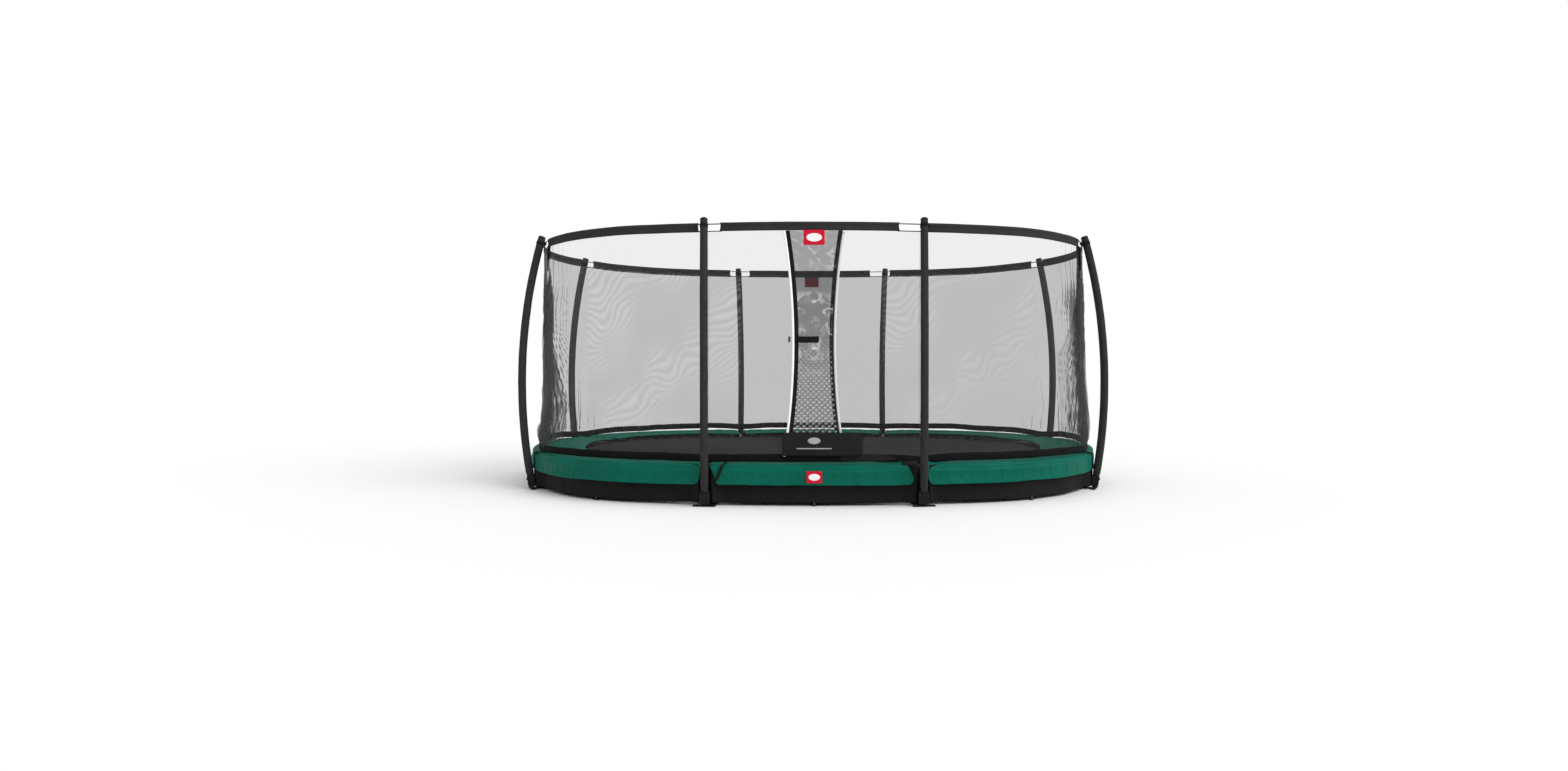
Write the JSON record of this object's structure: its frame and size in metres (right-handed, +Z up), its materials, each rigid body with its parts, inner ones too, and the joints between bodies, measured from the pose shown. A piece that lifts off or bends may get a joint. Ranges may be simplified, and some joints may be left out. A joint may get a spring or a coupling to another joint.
{
  "type": "oval trampoline",
  "caption": "Low oval trampoline on a tube frame, with padded edge, bowed net posts, a safety net with overlapping entrance flaps, and a sprung jumping mat.",
  "frame": {"origin": "on the ground under the middle of the mat", "axes": "+X along the long side, +Z up, the entrance on the -Y side"},
  "size_m": [4.8598, 3.3848, 2.044],
  "materials": {
    "galvanised_steel": "galvanised, satin",
    "spring_steel": "zinc plated",
    "black_steel": "powder coated, matt",
    "sleeve_fabric": "woven cover over foam",
    "black_plastic": "moulded, matt",
    "black_webbing": "flat woven webbing",
    "net_mesh": "fine knitted mesh, see-through",
    "green_cover": "coated fabric, soft sheen",
    "black_skirt": "coated fabric",
    "mat_weave": "tight black weave",
    "white_rod": "smooth glass-fibre rod",
    "black_rod": "smooth glass-fibre rod",
    "red_label": "woven label with a plain white shape"
  },
  "bodies": {
    "frame": {"frame_tubes_long": "galvanised_steel", "frame_tubes_end": "galvanised_steel", "tube_couplings": "galvanised_steel", "foot_plates": "black_steel", "leg_1": "black_steel", "leg_2": "black_steel", "leg_3": "black_steel", "leg_4": "black_steel", "leg_5": "black_steel", "leg_6": "black_steel", "leg_7": "black_steel", "leg_8": "black_steel", "mid_legs": "black_steel", "post_tubes": "galvanised_steel", "post_caps": "black_plastic", "post_clamps": "black_steel", "clamp_bolts": "galvanised_steel", "post_sleeve_1": "sleeve_fabric", "post_sleeve_2": "sleeve_fabric", "post_sleeve_3": "sleeve_fabric", "post_sleeve_4": "sleeve_fabric", "post_sleeve_5": "sleeve_fabric", "post_sleeve_6": "sleeve_fabric", "post_sleeve_7": "sleeve_fabric", "post_sleeve_8": "sleeve_fabric", "ring_rods": "black_rod", "top_band": "black_webbing", "net_hem": "black_webbing", "net_ties": "black_webbing", "net_front_left_of_entrance": "net_mesh", "net_front_right_of_entrance": "net_mesh", "net_front_right": "net_mesh", "net_right": "net_mesh", "net_back_right": "net_mesh", "net_back": "net_mesh", "net_back_left": "net_mesh", "net_left": "net_mesh", "net_front_left": "net_mesh", "pad_front": "green_cover", "pad_front_right": "green_cover", "pad_right": "green_cover", "pad_back_right": "green_cover", "pad_back": "green_cover", "pad_back_left": "green_cover", "pad_left": "green_cover", "pad_front_left": "green_cover", "skirt": "black_skirt", "springs": "spring_steel", "labels": "red_label"},
    "mat_bed": {"mat": "mat_weave", "mat_border": "black_webbing", "v_rings": "spring_steel"},
    "outer_flap": {"outer_flap_net": "net_mesh", "outer_flap_tape": "black_webbing", "outer_flap_rod": "white_rod", "strap_toggle": "black_plastic"},
    "inner_flap": {"inner_flap_net": "net_mesh", "inner_flap_tape": "black_webbing", "inner_flap_rod": "white_rod"},
    "latch": {"closing_strap": "black_webbing"}
  },
  "joints": [
    {"name": "mat_bounce", "type": "slide", "parent": "frame", "child": "mat_bed", "axis": [0, 0, 1], "range_m": [-0.2, 0], "stiffness_N_per_m": 6000, "springref_m": 0.06, "deforming": ["springs"]},
    {"name": "outer_flap_slide", "type": "slide", "parent": "frame", "child": "outer_flap", "axis": [1, 0, 0], "range_m": [0, 0.34], "stiffness_N_per_m": 40},
    {"name": "inner_flap_slide", "type": "slide", "parent": "frame", "child": "inner_flap", "axis": [-0.9977, 0.0675, 0], "range_m": [0, 0.34], "stiffness_N_per_m": 40},
    {"name": "latch_swing", "type": "hinge", "parent": "outer_flap", "child": "latch", "pos_m": [0.034, -1.5273, 1.18], "axis": [0, 0, 1], "range_deg": [0, 120]}
  ]
}
